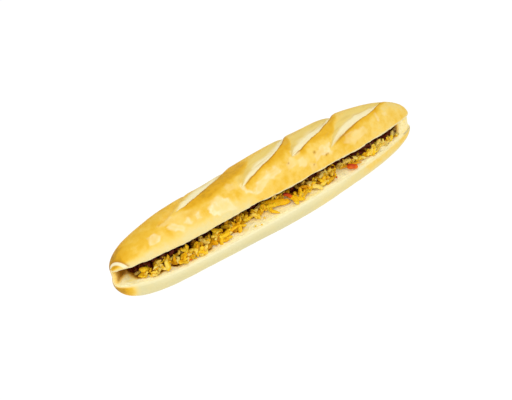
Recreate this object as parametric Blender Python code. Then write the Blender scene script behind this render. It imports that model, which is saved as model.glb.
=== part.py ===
"""Banh mi sandwich: a slashed demi baguette, slit along its front and hinged at its back,
filled with pulled curried chicken and a few pieces of red pepper.

Metres, +Z up. The loaf lies along X with the slit facing -Y, and it rests on its flat base
at z = 0. Its box is centred on x = y = 0.
"""

import math

import bmesh
import bpy
import numpy as np
from mathutils import Matrix, Vector

MM = 0.001

# The loaf, before it is slit
LOAF_LENGTH = 326.0 * MM
LOAF_WIDTH = 60.0 * MM
BOTTOM_DEPTH = 25.2 * MM  # from the slit down to the untrimmed underside
TOP_HEIGHT = 33.7 * MM  # from the slit up to the crest
BASE_TRIM = 1.5 * MM  # the underside is baked flat this far up
PLAN_ENDS = (4.0, 1.55)  # taper powers at the left and right end, larger is blunter
BOTTOM_ENDS = (9.5, 4.6)
TOP_ENDS = (2.8, 2.9)
BOTTOM_ROUNDNESS = 2.2  # superellipse powers of the two half sections
TOP_ROUNDNESS = 2.1
CREST_RISE = 0.09  # the right tip's crest over the middle's, as a share of the height
CREST_SAG = (-58.0, 44.0, 0.094)  # middle and reach in millimetres, share the crest sags by
BELLY = (18.0, 43.0, 0.11)  # the same for the underside, which is deepest here
LIP_WAVES = ((-42.0, 36.0, -2.2), (91.0, 24.0, 2.2))  # the lip hangs by the last value here
TOP_SHIFT = 1.0 * MM  # the opened top half has slid this far to the right
LAST_STATION = 0.9975  # the rings stop here, as a share of the half length

# The slit, opened like a book about an axis inside the back crust
OPEN_ANGLE = math.radians(14.0)
OPEN_TWIST = math.radians(-1.9)  # the slit gapes wider at the left tip than at the right
HINGE_Y = 27.0 * MM
HINGE_LIFT = 5.1 * MM  # the crumb left between the halves at the hinge
HINGE_WALL = 8.0 * MM  # bread left uncut at the back
WALL_AT_TIP = 0.8  # that wall at the tips, as a share of the half width
CREASE = 1.0 * MM  # how deep the back crust folds in at the hinge
WEB_STARTS = 132.0 * MM  # towards the right tip the slit closes, from here
WEB_ENDS = 152.0 * MM  # to here
EDGE_EASE = 1.3 * MM  # rounding of the slit's edges

CUT_Z = BOTTOM_DEPTH - BASE_TRIM

# Slashes in the crust. Each has a raised front edge through points given as x along the loaf
# and v up and over it from the front lip, then how far back the cut lies open, how early it
# is widest (1 in the middle, less is sooner) and how deep it is, all in millimetres.
SLASHES = (
    (((-118.0, 29.0), (-103.0, 33.0), (-90.0, 40.0), (-78.0, 50.0), (-62.0, 72.0)), 12.0, 1.0, 2.6),
    (((-97.0, 32.5), (-76.0, 36.0), (-60.0, 41.5), (-38.0, 49.8), (-8.0, 73.0)), 17.0, 1.0, 3.4),
    (((-36.0, 16.8), (-11.0, 26.6), (11.0, 32.8), (26.0, 42.0), (37.0, 55.0), (58.0, 79.0)), 19.0, 0.8, 2.6),
    (((22.0, 20.5), (45.0, 26.8), (64.0, 33.0), (79.0, 41.8), (91.0, 56.0), (116.0, 78.0)), 24.0, 0.7, 4.2),
    (((58.0, 10.5), (82.0, 18.6), (104.0, 24.9), (122.0, 30.2), (134.0, 40.5), (150.0, 62.0)), 21.5, 1.0, 2.6),
)
OVER_THE_TOP = 30.8 * MM  # v is this radius times the angle from the front lip
EAR_RISE = 0.9 * MM  # the crust swells up to the slash's front edge
EAR_REACH = 7.0 * MM
EAR_FADE = (38.0, 56.0)  # towards the crest, over these v, the edges flatten
EAR_LEFT = 0.35  # to this share
STEP_WIDTH = (3.0, 6.0)  # the drop into the slash takes this far low down and at the crest

# The heap of filling: centre and half length along x, how far forward it reaches in y, and
# its height, in millimetres, for each clump
CLUMPS = (
    (-139.0, 7.0, -14.0, 5.5),
    (-125.0, 10.0, -24.0, 7.0),
    (-104.0, 12.0, -27.0, 8.0),
    (-84.0, 13.0, -26.5, 8.0),
    (-63.0, 12.0, -24.0, 7.5),
    (-46.0, 9.0, -22.5, 6.5),
    (-24.0, 14.0, -15.5, 5.5),
    (-2.0, 10.0, -13.5, 5.5),
    (22.5, 6.5, -24.5, 6.0),
    (34.0, 7.0, -20.0, 6.5),
    (52.0, 12.0, -24.5, 7.0),
    (90.0, 14.0, -14.5, 6.0),
    (107.0, 9.0, -18.0, 6.5),
    (127.0, 13.0, -12.5, 6.5),
    (143.0, 7.0, -4.0, 5.0),
)
HEAP_STARTS = -146.0 * MM
HEAP_ENDS = 147.0 * MM
HEAP_TIP = 11.0 * MM  # it thins out over this length at either end
HEAP_BACKING = -8.0  # between clumps the heap reaches forward to here, in millimetres
HEAP_BETWEEN = 5.0  # and is this high, in millimetres
HEAP_FULL = 0.4  # this share of its depth, at the back, the heap rises to fill the slit
LUMP_SPACING = 9.0  # pulled meat lies in lumps about this long, in millimetres
LUMP_DEPTH = 1.1  # and stands in and out by this much, in millimetres
CLEARANCE = 0.4 * MM

# Red pepper: both ends of each strip as x, y and height above the slit, then its width, its
# thickness and its roll about its length, in millimetres and degrees
PEPPERS = {
    "pepper_slice_front": ((76.3, -18.6, 4.4), (82.2, -23.8, 3.4), 5.6, 3.2, 38.0),
    "pepper_slice_middle": ((14.6, -19.2, 3.2), (8.6, -14.2, 9.2), 5.2, 3.0, 20.0),
}
PEPPER_CURL = 9.0 * MM  # radius that a pepper's wall bends to

# Rings along the loaf and points round each ring
LOAF_RINGS = 77
TOP_STEPS = 29
BOTTOM_STEPS = 12
FACE_STEPS = 4
WALL_STEPS = 3
FOLD_STEPS = 2
HEAP_RINGS = 66


def power_curve(angle, power):
    """Cosine and sine bent to a superellipse of this power."""
    cos, sin = np.cos(angle), np.sin(angle)
    return np.sign(cos) * np.abs(cos) ** (2 / power), np.abs(sin) ** (2 / power)


def taper(s, ends):
    """Share of the full width left at s, from -1 at the left tip to 1 at the right."""
    power = ends[0] if s < 0 else ends[1]
    return math.sqrt(1 - abs(s) ** power)


def smooth(value, low, high):
    """0 below low, 1 above high, and an even curve between."""
    share = np.clip((value - low) / (high - low), 0, 1)
    return share * share * (3 - 2 * share)


def through(spots, x):
    """A smooth line through these spots, as its height at x."""
    xs, heights = np.array(spots).T
    slopes = np.gradient(heights, xs)
    k = int(np.clip(np.searchsorted(xs, x) - 1, 0, len(xs) - 2))
    gap = xs[k + 1] - xs[k]
    t = np.clip((x - xs[k]) / gap, 0, 1)
    near = (1 + 2 * t) * (1 - t) ** 2 * heights[k] + t * (1 - t) ** 2 * gap * slopes[k]
    return near + t * t * (3 - 2 * t) * heights[k + 1] - t * t * (1 - t) * gap * slopes[k + 1]


def swell(x, spot):
    """A smooth swelling along the loaf from its middle, half length and size."""
    middle, half_length, size = spot
    return size * math.exp(-(((x / MM - middle) / half_length) ** 2))


def slash_relief(x, v):
    """Height of the crust's slashes over the plain loaf at x and v, in metres."""
    x, v = x / MM, v / MM
    height = np.zeros_like(v)
    upper = smooth(v, *EAR_FADE)
    step = STEP_WIDTH[0] + (STEP_WIDTH[1] - STEP_WIDTH[0]) * upper
    for spots, opening, skew, depth in SLASHES:
        first, last = spots[0][0], spots[-1][0]
        lens = math.sin(math.pi * min(max((x - first) / (last - first), 0), 1) ** skew)
        if lens < 0.01:
            continue
        slope = math.hypot(1, (through(spots, x + 1) - through(spots, x - 1)) / 2)
        from_ear = (v - through(spots, x)) / slope
        share = from_ear * slope / max(opening * lens, 0.5)
        rise = EAR_RISE / MM * np.exp(-np.maximum(-from_ear, 0) / (EAR_REACH / MM))
        rise = rise * (1 - (1 - EAR_LEFT) * upper)
        drop = smooth(from_ear, -0.4 * step, step)
        valley = depth * (1 - smooth(share, 0.4, 1.05))
        height += math.sqrt(lens) * (rise * (1 - drop) - valley * drop)
    return height * MM


def top_outline(s, angles):
    """Outer crust of the top half before it is opened: y and h above the slit."""
    width = taper(s, PLAN_ENDS)
    half = LOAF_WIDTH / 2 * width
    tall = TOP_HEIGHT * taper(s, TOP_ENDS) * (1 + CREST_RISE * s)
    tall = tall * (1 - swell(s * LOAF_LENGTH / 2, CREST_SAG))
    cos, sin = power_curve(angles, TOP_ROUNDNESS)
    y, h = -half * cos, tall * sin
    out_y = np.sign(y) * np.abs(cos) ** (TOP_ROUNDNESS - 1) / half
    out_h = sin ** (TOP_ROUNDNESS - 1) / tall
    size = np.hypot(out_y, out_h)
    relief = slash_relief(s * LOAF_LENGTH / 2, OVER_THE_TOP * angles) * np.minimum(width * 2, 1)
    return y + relief * out_y / size, h + relief * out_h / size


def opened(s, y, h):
    """A point of the top half at this station, turned up about the hinge, its lip waving."""
    angle = OPEN_ANGLE + OPEN_TWIST * s
    cos, sin = math.cos(angle), math.sin(angle)
    h = h - sum(swell(s * LOAF_LENGTH / 2, wave) for wave in LIP_WAVES) * MM * smooth(-y, 0, 25 * MM)
    return HINGE_Y + (y - HINGE_Y) * cos + h * sin, CUT_Z + HINGE_LIFT - (y - HINGE_Y) * sin + h * cos


def slit_end(s):
    """How far back the slit goes at this station, as y on the bottom half."""
    half = LOAF_WIDTH / 2 * taper(s, PLAN_ENDS)
    back = half - min(HINGE_WALL, WALL_AT_TIP * half)
    closing = smooth(s * LOAF_LENGTH / 2, WEB_STARTS, WEB_ENDS)
    front = -half + 2 * EDGE_EASE
    return float(back + (max(min(front, back), -half * 0.6) - back) * closing)


def loaf_ring(s):
    """The C-shaped section of the opened loaf, from the front lip over the top to the slit."""
    x = s * LOAF_LENGTH / 2
    wide = taper(s, PLAN_ENDS)
    half = LOAF_WIDTH / 2 * wide
    deep = BOTTOM_DEPTH * taper(s, BOTTOM_ENDS) * (1 - BELLY[2] + swell(x, BELLY))
    ease = min(EDGE_EASE, half * 0.3)
    inner = slit_end(s)

    over = np.linspace(ease / half, math.pi, TOP_STEPS + 1)
    ring = [opened(s, y, h) for y, h in zip(*top_outline(s, over))]

    # the fold of crust at the back, from the top half down to the bottom half
    top_back, bottom_back = ring[-1], (half, CUT_Z)
    for k in range(1, FOLD_STEPS):
        share = k / FOLD_STEPS
        fold = CREASE * wide * math.sin(math.pi * share)
        y = top_back[0] + (bottom_back[0] - top_back[0]) * share - fold
        ring.append((y, top_back[1] + (bottom_back[1] - top_back[1]) * share))

    under = np.linspace(math.pi, ease / half, BOTTOM_STEPS + 1)
    cos, sin = power_curve(under, BOTTOM_ROUNDNESS)
    for c, d in zip(cos, sin):
        ring.append((-half * c, max(CUT_Z - deep * d, 0.0)))

    # the slit: along the bottom half's crumb, up its end, and back under the top half
    front = -half + ease
    for k in range(FACE_STEPS):
        ring.append((front + (inner - front) * k / FACE_STEPS, CUT_Z))
    low, high = (inner, CUT_Z), opened(s, inner, 0.0)
    for k in range(WALL_STEPS):
        share = k / WALL_STEPS
        bow = 0.12 * (high[1] - low[1]) * math.sin(math.pi * share)
        ring.append((low[0] + (high[0] - low[0]) * share + bow, low[1] + (high[1] - low[1]) * share))
    for k in range(FACE_STEPS + 1):
        ring.append(opened(s, inner + (front - inner) * k / FACE_STEPS, 0.0))
    return [(x + TOP_SHIFT * smooth(z, CUT_Z, CUT_Z + HINGE_LIFT), y, z) for y, z in ring]


def loft(name, rings):
    """A closed solid through rings of equal point count, its two ends filled."""
    mesh = bmesh.new()
    rows = [[mesh.verts.new(point) for point in ring] for ring in rings]
    count = len(rows[0])
    for near, far in zip(rows, rows[1:]):
        for k in range(count):
            after = (k + 1) % count
            mesh.faces.new((near[k], near[after], far[after], far[k]))
    ends = [mesh.faces.new(rows[0]), mesh.faces.new(rows[-1])]
    bmesh.ops.triangulate(mesh, faces=ends)
    bmesh.ops.recalc_face_normals(mesh, faces=mesh.faces)
    data = bpy.data.meshes.new(name)
    mesh.to_mesh(data)
    mesh.free()
    return data


def stations(count, last, crowding=0.8):
    """Places from -last to last that lie closer together towards the ends."""
    steps = np.linspace(-1, 1, count)
    return last * np.sin(steps * math.pi / 2 * crowding) / math.sin(math.pi / 2 * crowding)


def slit_height(s, y):
    """Clear height in the slit at this station and y, between the two crumb faces."""
    return HINGE_LIFT + (HINGE_Y - y) * math.tan(OPEN_ANGLE + OPEN_TWIST * s)


def heap_reach(x):
    """How far forward and how high the heap of filling is at x, in millimetres."""
    reach, high = HEAP_BACKING, HEAP_BETWEEN
    for centre, half, forward, tall in CLUMPS:
        share = math.exp(-(((x - centre) / half) ** 4))
        reach = min(reach, HEAP_BACKING + (forward - HEAP_BACKING) * share)
        high = max(high, HEAP_BETWEEN + (tall - HEAP_BETWEEN) * share)
    return reach, high


def lumps(x, level):
    """In and out of the pulled meat along x at one level of the heap, in millimetres."""
    turn = 2 * math.pi / LUMP_SPACING
    return LUMP_DEPTH * math.sin(turn * x + 2.1 * level) * math.sin(0.37 * turn * x + level)


def heap_ring(x):
    """Section of the heap of filling at x."""
    s = x / (LOAF_LENGTH / 2)
    ends = min(smooth(x, HEAP_STARTS, HEAP_STARTS + HEAP_TIP), smooth(-x, -HEAP_ENDS, -HEAP_ENDS + HEAP_TIP))
    back = slit_end(s) - 2 * CLEARANCE
    reach, high = heap_reach(x / MM)
    front = max(reach * MM, -LOAF_WIDTH / 2 * taper(s, PLAN_ENDS) + 3 * MM)
    front = back + (min(front, back - 4 * MM) - back) * (0.3 + 0.7 * float(ends))
    floor = CUT_Z + CLEARANCE
    depth = back - front
    # share of the way forward and share of the height, from the floor at the back round
    profile = (
        (0.00, 0.00), (0.30, 0.00), (0.60, 0.00), (0.98, 0.00), (1.00, 0.18), (0.96, 0.48),
        (0.88, 0.78), (0.76, 0.95), (0.58, 0.92), (0.40, 0.85), (0.20, 0.95), (0.00, 1.00),
    )
    ring = []
    for level, (forward, up) in enumerate(profile):
        y = back - depth * forward
        if forward > 0.5 and up > 0:
            y -= lumps(x / MM, level) * MM * float(ends)
        room = slit_height(s, y) - 2 * CLEARANCE
        tall = min(high * MM * (0.35 + 0.65 * float(ends)), room)
        if forward < HEAP_FULL:
            tall = tall + (room - tall) * (1 - forward / HEAP_FULL)
        z = floor + up * min(tall + 0.6 * lumps(x / MM, level + 3) * MM * (up > 0.5), room - CLEARANCE)
        ring.append((x, y, z))
    return ring


def pepper_slice(name, length, width, thick):
    """A short strip of red pepper: a rounded slab bent like the pepper's wall."""
    mesh = bmesh.new()
    bmesh.ops.create_cube(mesh, size=1)
    bmesh.ops.scale(mesh, vec=(length, width, thick), verts=mesh.verts)
    long_edges = [e for e in mesh.edges if abs(e.verts[0].co.x - e.verts[1].co.x) > length / 2]
    bmesh.ops.subdivide_edges(mesh, edges=long_edges, cuts=4, use_grid_fill=True)
    corners = [e for e in mesh.edges if e.is_manifold and e.calc_face_angle() > 1]
    bmesh.ops.bevel(mesh, geom=corners, offset=0.28 * thick, segments=2, profile=0.6, affect="EDGES")
    for vert in mesh.verts:
        turn = vert.co.x / PEPPER_CURL
        radius = PEPPER_CURL + vert.co.z
        narrowing = 1 - 0.18 * (vert.co.x / length + 0.5)
        vert.co = (radius * math.sin(turn), vert.co.y * narrowing, radius * math.cos(turn) - PEPPER_CURL)
    bmesh.ops.recalc_face_normals(mesh, faces=mesh.faces)
    data = bpy.data.meshes.new(name)
    mesh.to_mesh(data)
    mesh.free()
    return data


def material(name, colour, roughness, subsurface=0.0):
    """A Principled material of one colour."""
    made = bpy.data.materials.new(name)
    made.use_nodes = True
    shader = made.node_tree.nodes["Principled BSDF"]
    shader.inputs["Base Color"].default_value = (*colour, 1)
    shader.inputs["Roughness"].default_value = roughness
    shader.inputs["Metallic"].default_value = 0.0
    shader.inputs["Subsurface Weight"].default_value = subsurface
    return made


def add(name, data, finish, collection):
    """An object of this mesh and material in the collection."""
    data.materials.append(finish)
    data.shade_smooth()
    data.set_sharp_from_angle(angle=math.radians(40))
    made = bpy.data.objects.new(name, data)
    collection.objects.link(made)
    return made


def make_baguette(collection):
    """The loaf: both halves and the wall that joins them, in one piece."""
    rings = [loaf_ring(float(s)) for s in stations(LOAF_RINGS, LAST_STATION)]
    crust = material("baked_crust", (0.80, 0.52, 0.15), 0.55)
    return add("baguette", loft("baguette", rings), crust, collection)


def make_filling(collection):
    """The heap of pulled chicken, out to its uneven outline."""
    rings = [heap_ring(float(x)) for x in np.linspace(HEAP_STARTS, HEAP_ENDS, HEAP_RINGS)]
    chicken = material("curried_chicken", (0.76, 0.44, 0.05), 0.4, 0.1)
    return add("filling", loft("filling", rings), chicken, collection)


def make_peppers(collection):
    """The pieces of red pepper that lie at the front of the heap."""
    skin = material("red_pepper", (0.72, 0.06, 0.01), 0.25, 0.1)
    made = []
    for name, (near, far, width, thick, roll) in PEPPERS.items():
        near, far = (Vector(end) * MM + Vector((0, 0, CUT_Z)) for end in (near, far))
        data = pepper_slice(name, (far - near).length, width * MM, thick * MM)
        piece = add(name, data, skin, collection)
        turn = (far - near).to_track_quat("X", "Z").to_matrix().to_4x4()
        place = Matrix.Translation((near + far) / 2) @ turn
        piece.matrix_world = place @ Matrix.Rotation(math.radians(roll), 4, "X")
        made.append(piece)
    return made


def centre_on_base(loaf, others):
    """Move everything so that the loaf's box is centred on the origin."""
    corners = np.array([vert.co for vert in loaf.data.vertices])
    low, high = corners.min(axis=0), corners.max(axis=0)
    shift = Matrix.Translation((-(low[0] + high[0]) / 2, -(low[1] + high[1]) / 2, -low[2]))
    loaf.data.transform(shift)
    for piece in others:
        piece.matrix_world = shift @ piece.matrix_world


def main():
    for old in list(bpy.data.objects):
        bpy.data.objects.remove(old, do_unlink=True)
    collection = bpy.data.collections.new("banh_mi_sandwich")
    bpy.context.scene.collection.children.link(collection)
    loaf = make_baguette(collection)
    others = [make_filling(collection), *make_peppers(collection)]
    centre_on_base(loaf, others)


main()
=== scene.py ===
"""Looks of a banh mi sandwich: the baked loaf with its slashes and crumb, the pulled curried
chicken in its slit and the pieces of red pepper.

Sizes are in millimetres until a mesh is made. The loaf lies along X, its slit faces -Y.
"""

import math

import bpy
import numpy as np
from mathutils import Matrix, Vector


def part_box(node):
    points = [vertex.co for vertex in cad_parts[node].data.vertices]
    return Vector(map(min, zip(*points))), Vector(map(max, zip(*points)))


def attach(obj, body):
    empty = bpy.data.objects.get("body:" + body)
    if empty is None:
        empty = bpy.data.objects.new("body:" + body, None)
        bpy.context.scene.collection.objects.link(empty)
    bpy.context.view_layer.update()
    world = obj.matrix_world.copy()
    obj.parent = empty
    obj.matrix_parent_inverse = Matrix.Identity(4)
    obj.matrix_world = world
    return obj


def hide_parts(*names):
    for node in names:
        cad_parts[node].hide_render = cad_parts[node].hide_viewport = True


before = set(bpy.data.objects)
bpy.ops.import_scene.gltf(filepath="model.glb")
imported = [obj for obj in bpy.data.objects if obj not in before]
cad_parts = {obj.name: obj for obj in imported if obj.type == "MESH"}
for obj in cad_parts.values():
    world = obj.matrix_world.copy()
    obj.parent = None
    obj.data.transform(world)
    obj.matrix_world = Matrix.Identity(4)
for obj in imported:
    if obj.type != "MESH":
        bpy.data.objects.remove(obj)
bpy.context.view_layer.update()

MM = 0.001

# The loaf, as the solids have it
LOAF_LENGTH = 326.0
LOAF_WIDTH = 60.0
BOTTOM_DEPTH = 25.2
TOP_HEIGHT = 33.7
BASE_TRIM = 1.5
PLAN_ENDS = (4.0, 1.55)
BOTTOM_ENDS = (9.5, 4.6)
TOP_ENDS = (2.8, 2.9)
BOTTOM_ROUNDNESS = 2.2
TOP_ROUNDNESS = 2.1
CREST_RISE = 0.09
CREST_SAG = (-58.0, 44.0, 0.094)
BELLY = (18.0, 43.0, 0.11)
LIP_WAVES = ((-42.0, 36.0, -2.4), (91.0, 24.0, 1.2), (60.0, 80.0, -2.1), (-115.0, 36.0, -0.7))
TOP_SHIFT = 1.0
LAST_STATION = 0.9975
OPEN_ANGLE = math.radians(14.0)
OPEN_TWIST = math.radians(-1.9)
HINGE_Y = 27.0
HINGE_LIFT = 5.1
HINGE_WALL = 8.0
WALL_AT_TIP = 0.8
CREASE = 1.0
WEB_STARTS = 132.0
WEB_ENDS = 152.0
EDGE_EASE = 1.3
CUT_Z = BOTTOM_DEPTH - BASE_TRIM

# Slashes: points of the raised front edge as x along the loaf and v up and over it from the
# front lip, how far back the cut lies open, how early it is widest and how deep it is
SLASHES = (
    (((-118.0, 29.0), (-103.0, 33.0), (-90.0, 40.0), (-78.0, 50.0), (-62.0, 72.0)), 12.0, 1.0, 2.6),
    (((-97.0, 32.5), (-76.0, 36.0), (-60.0, 41.5), (-38.0, 49.8), (-8.0, 73.0)), 17.0, 1.0, 3.4),
    (((-36.0, 16.8), (-11.0, 26.6), (11.0, 32.8), (26.0, 42.0), (37.0, 55.0), (58.0, 79.0)), 19.0, 0.8, 2.6),
    (((22.0, 20.5), (45.0, 26.8), (64.0, 33.0), (79.0, 41.8), (91.0, 56.0), (116.0, 78.0)), 24.0, 0.7, 4.2),
    (((58.0, 10.5), (82.0, 18.6), (104.0, 24.9), (122.0, 30.2), (134.0, 40.5), (150.0, 62.0)), 21.5, 1.0, 2.6),
)
# How each slash baked: how pale its inside stayed, the share of it that is palest, how plain the
# torn line is behind that, and points of the lower edge of the amber crust in front of it
SLASH_BAKES = (
    (0.12, 0.40, 0.0, ((-118.0, 99.0), (-62.0, 99.0))),
    (1.0, 0.90, 0.2, ((-97.0, 31.0), (-80.0, 25.5), (-62.0, 24.5), (-45.0, 29.5), (-25.0, 33.0), (-14.0, 42.0), (0.0, 60.0))),
    (1.0, 0.52, 0.3, ((-36.0, 14.5), (-17.0, 20.5), (-8.0, 23.8), (22.0, 25.0), (31.0, 36.0), (38.0, 54.0), (58.0, 76.0))),
    (1.0, 0.54, 0.2, ((22.0, 19.0), (42.0, 21.5), (68.0, 21.0), (74.0, 27.0), (80.0, 35.0), (92.0, 52.0), (110.0, 76.0))),
    (1.0, 0.50, 0.5, ((58.0, 10.0), (82.0, 13.5), (104.0, 18.5), (122.0, 23.0), (134.0, 33.0), (150.0, 56.0))),
)
OVER_THE_TOP = 30.8
EAR_RISE = 0.9
EAR_REACH = 7.0
EAR_FADE = (38.0, 56.0)
EAR_LEFT = 0.35
STEP_WIDTH = (1.1, 6.0)

# Where flour was left on the crust: corners of each patch as x and v, and how thick it lies
FLOURY = (
    (((-129, 26), (-121, 26.5), (-119, 19), (-122, 13.5), (-129.5, 14.5)), 0.70),
    (((-116, 30), (-104.5, 34), (-98, 29), (-106, 26)), 0.30),
    (((-111, 24), (-106, 15.5), (-98, 10.5), (-88, 9), (-80, 12), (-77, 18), (-81, 26), (-93, 31), (-102, 28)), 0.14),
    (((-111, 24), (-106.5, 15.5), (-98, 10.5), (-95, 12.5), (-99, 19), (-104, 24)), 0.75),
    (((-95, 18.5), (-90.5, 14), (-86.5, 16), (-90, 20.5)), 0.75),
    (((-84, 22.5), (-78, 22.5), (-78, 14.5), (-84, 14.5)), 0.60),
    (((-65, 23), (-69.5, 19), (-70.5, 14.5), (-68, 10.5), (-64, 8), (-60, 12), (-60, 23)), 1.0),
    (((-64, 8.5), (-52, 6), (-48.5, 5), (-49, 12), (-51.5, 16.5), (-54, 20.5), (-56.5, 24), (-63, 23)), 0.86),
    (((-46, 30), (-38, 28), (-40, 20), (-46, 21)), 0.30),
    (((-36, 21), (-32, 21), (-31.5, 13), (-35, 12.5)), 0.85),
    (((-35, 14), (-31, 13.5), (-25.5, 9.5), (-24, 7), (-31, 9.5)), 0.80),
    (((-27, 9.5), (-24.5, 7), (-18, 7.8), (-14.3, 8.8), (-10.6, 11.3), (-5.7, 13.3), (-7.7, 19), (-22, 15.9)), 0.60),
    (((-13, 17), (-10, 12), (-5.7, 13), (-0.8, 12), (5.8, 13.2), (7, 17), (3.2, 21), (-7.7, 19.2)), 0.75),
    (((12, 12.5), (12, 19), (21.6, 20), (21.6, 12.6)), 0.45),
    (((23.5, 10.3), (23.4, 15.5), (29.4, 15.5), (29.8, 10.0)), 0.60),
    (((22.5, 21), (21.5, 26), (30, 28), (31, 22)), 0.80),
    (((42, 9), (44, 17), (54, 18), (60.1, 15), (60.3, 8.5), (50, 8)), 0.62),
    (((53, 9), (53, 15), (60, 15.5), (62, 9)), 0.85),
    (((33, 3), (33, 8), (40, 8), (40, 3)), 0.35),
    (((75, 12), (78, 17), (102, 17), (104, 8), (85, 6)), 0.40),
    (((119, 14), (118.5, 25), (121.5, 25.5), (122.5, 14)), 0.55),
    (((129.5, 17), (129.5, 23), (132.5, 23), (133, 17)), 0.45),
)

# Where the crust browned more in small patches: x, v, half sizes along each, and how much
BROWNED = (
    (-41.0, 12.0, 3.0, 7.0, 0.15),
    (-112.0, 21.0, 3.0, 8.0, 0.08),
    (-88.0, 24.0, 6.0, 4.0, 0.10),
    (-74.0, 16.0, 3.0, 7.0, 0.08),
    (11.0, 9.0, 7.0, 3.5, 0.09),
    (64.0, 7.5, 5.0, 4.0, 0.08),
    (75.0, 9.5, 3.0, 2.5, 0.14),
    (33.0, 21.0, 5.0, 4.0, 0.08),
)

# Dark specks on the crust: x, v and size
SPECKS = ((42.8, 15.1, 1.1), (15.2, 17.8, 0.7), (37.5, 6.5, 0.6), (52.5, 8.6, 0.7), (54.5, 8.8, 0.7))

# The heap of chicken, as the solid has it: centre and half length along x, reach in y, height
CLUMPS = (
    (-139.0, 7.0, -14.0, 5.5),
    (-125.0, 10.0, -24.0, 7.0),
    (-104.0, 12.0, -27.0, 8.0),
    (-84.0, 13.0, -26.5, 8.0),
    (-63.0, 12.0, -24.0, 7.5),
    (-46.0, 9.0, -22.5, 6.5),
    (-24.0, 14.0, -15.5, 5.5),
    (-2.0, 10.0, -13.5, 5.5),
    (22.5, 6.5, -24.5, 6.0),
    (34.0, 7.0, -20.0, 6.5),
    (52.0, 12.0, -24.5, 7.0),
    (90.0, 14.0, -14.5, 6.0),
    (107.0, 9.0, -18.0, 6.5),
    (127.0, 13.0, -12.5, 6.5),
    (143.0, 7.0, -4.0, 5.0),
)
HEAP_STARTS = -146.0
HEAP_ENDS = 147.0
HEAP_TIP = 11.0
HEAP_BACKING = -8.0
HEAP_BETWEEN = 5.0
CORE_INSET = 2.6  # the heap's core lies this far inside its outline, under the loose shreds
SHREDS_PER_MM = 2.2  # shreds along the heap, for each millimetre of it
STRAND_RINGS = 15
STRAND_SIDES = 10

# Strips that lie apart: both ends as x, y and height above the crumb, then width, thickness,
# how far the middle bends aside, and tone from brown to pale
STRIPS = (
    ((-11.0, -8.0, 5.0), (9.2, -21.0, 2.4), 7.0, 4.4, 1.0, 0.30),
    ((-14.0, -10.5, 4.4), (2.0, -17.5, 3.4), 4.2, 3.0, -0.8, 0.55),
    ((-8.0, -13.0, 3.4), (-7.0, -26.6, 1.4), 3.4, 2.6, -2.6, 0.45),
    ((-12.0, -13.0, 2.4), (-11.0, -19.5, 1.6), 3.0, 2.2, 1.2, 0.6),
    ((11.0, -15.0, 4.4), (14.0, -27.0, 1.8), 5.4, 3.4, 1.4, 0.35),
    ((16.5, -19.0, 3.4), (19.5, -27.5, 1.6), 4.2, 2.8, -1.2, 0.5),
    ((11.5, -23.0, 2.0), (12.5, -28.3, 1.2), 3.4, 2.2, 0.6, 0.6),
    ((33.5, -11.6, 4.6), (40.5, -27.0, 1.6), 5.0, 3.0, 1.4, 0.95),
    ((28.0, -14.0, 4.0), (31.0, -22.0, 1.8), 3.4, 2.4, -1.0, 0.5),
    ((72.0, -7.6, 4.6), (98.5, -17.2, 2.6), 5.0, 2.4, 1.4, 1.0),
    ((72.0, -12.0, 1.6), (92.0, -18.6, 1.0), 2.6, 1.6, 0.6, -0.3),
    ((98.0, -11.0, 3.4), (108.0, -18.4, 2.0), 4.6, 3.4, 2.2, 0.35),
    ((103.0, -9.0, 4.0), (111.0, -17.8, 2.4), 3.8, 2.8, -1.8, 0.6),
    ((112.0, -9.5, 2.6), (132.0, -10.5, 1.8), 2.4, 1.9, 2.0, 0.6),
    ((118.0, -11.0, 2.0), (137.0, -7.4, 2.0), 2.2, 1.8, -1.8, 0.85),
    ((126.0, -9.5, 2.0), (146.5, -1.8, 2.6), 2.2, 1.7, 1.2, 0.7),
    ((108.0, -6.0, 4.6), (130.0, -5.4, 4.2), 3.0, 2.2, -1.2, 0.4),
    ((-114.0, -12.0, 5.0), (-105.5, -17.0, 3.6), 3.4, 2.4, 0.8, 0.95),
    ((-141.0, -7.0, 4.6), (-131.0, -9.0, 3.6), 5.6, 4.6, 0.6, 0.55),
)

# Crumbs and flecks that fell on the cut bread: x, y and size, yellow and then orange
CRUMBS = ((-84, -25.5, 1.3), (-32.5, -24.7, 1.5), (-27.5, -27.8, 1.2), (-10.2, -18.8, 1.4), (-19.5, -20.5, 1.6), (21, -26.4, 1.1))
FLECKS = ((-59.2, -19.6, 2.0), (-77.8, -20.1, 1.6), (25.4, -15.8, 2.2), (-100, -24.5, 1.5), (60, -22, 1.6))

# The pieces of red pepper, as the solids have them: both ends, width, thickness and roll
PEPPERS = {
    "pepper_slice_front": ((76.3, -18.6, 4.4), (82.2, -23.8, 3.4), 5.6, 3.2, 38.0),
    "pepper_slice_middle": ((14.6, -19.2, 3.2), (8.6, -14.2, 9.2), 5.2, 3.0, 20.0),
}
PEPPER_CURL = 9.0

# What the loaf's mesh carries for its materials
LOOKS = ("bake", "flour", "pale", "bare", "ear", "grain", "crumb", "stain_and_shade")

# Points of the fine loaf: along it, over the top half, round the fold, under the bottom half,
# across each cut face and up the slit's end
LOAF_RINGS = 350
TOP_STEPS = 128
FOLD_STEPS = 8
BOTTOM_STEPS = 62
FACE_STEPS = 30
WALL_STEPS = 8

# The view: the camera's place round the sandwich, its lens and its roll
VIEW_AZIMUTH = math.radians(-29.1)
VIEW_ELEVATION = math.radians(31.3)
VIEW_DISTANCE = 1320.0
VIEW_ROLL = math.radians(-12.42)
VIEW_ASIDE = 11.5  # the loaf lies this far right of the middle of the view
LENS = 105.0


# Numbers for shapes

def smooth(value, low, high):
    """0 below low, 1 above high, and an even curve between."""
    share = np.clip((value - low) / (high - low), 0, 1)
    return share * share * (3 - 2 * share)


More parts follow.
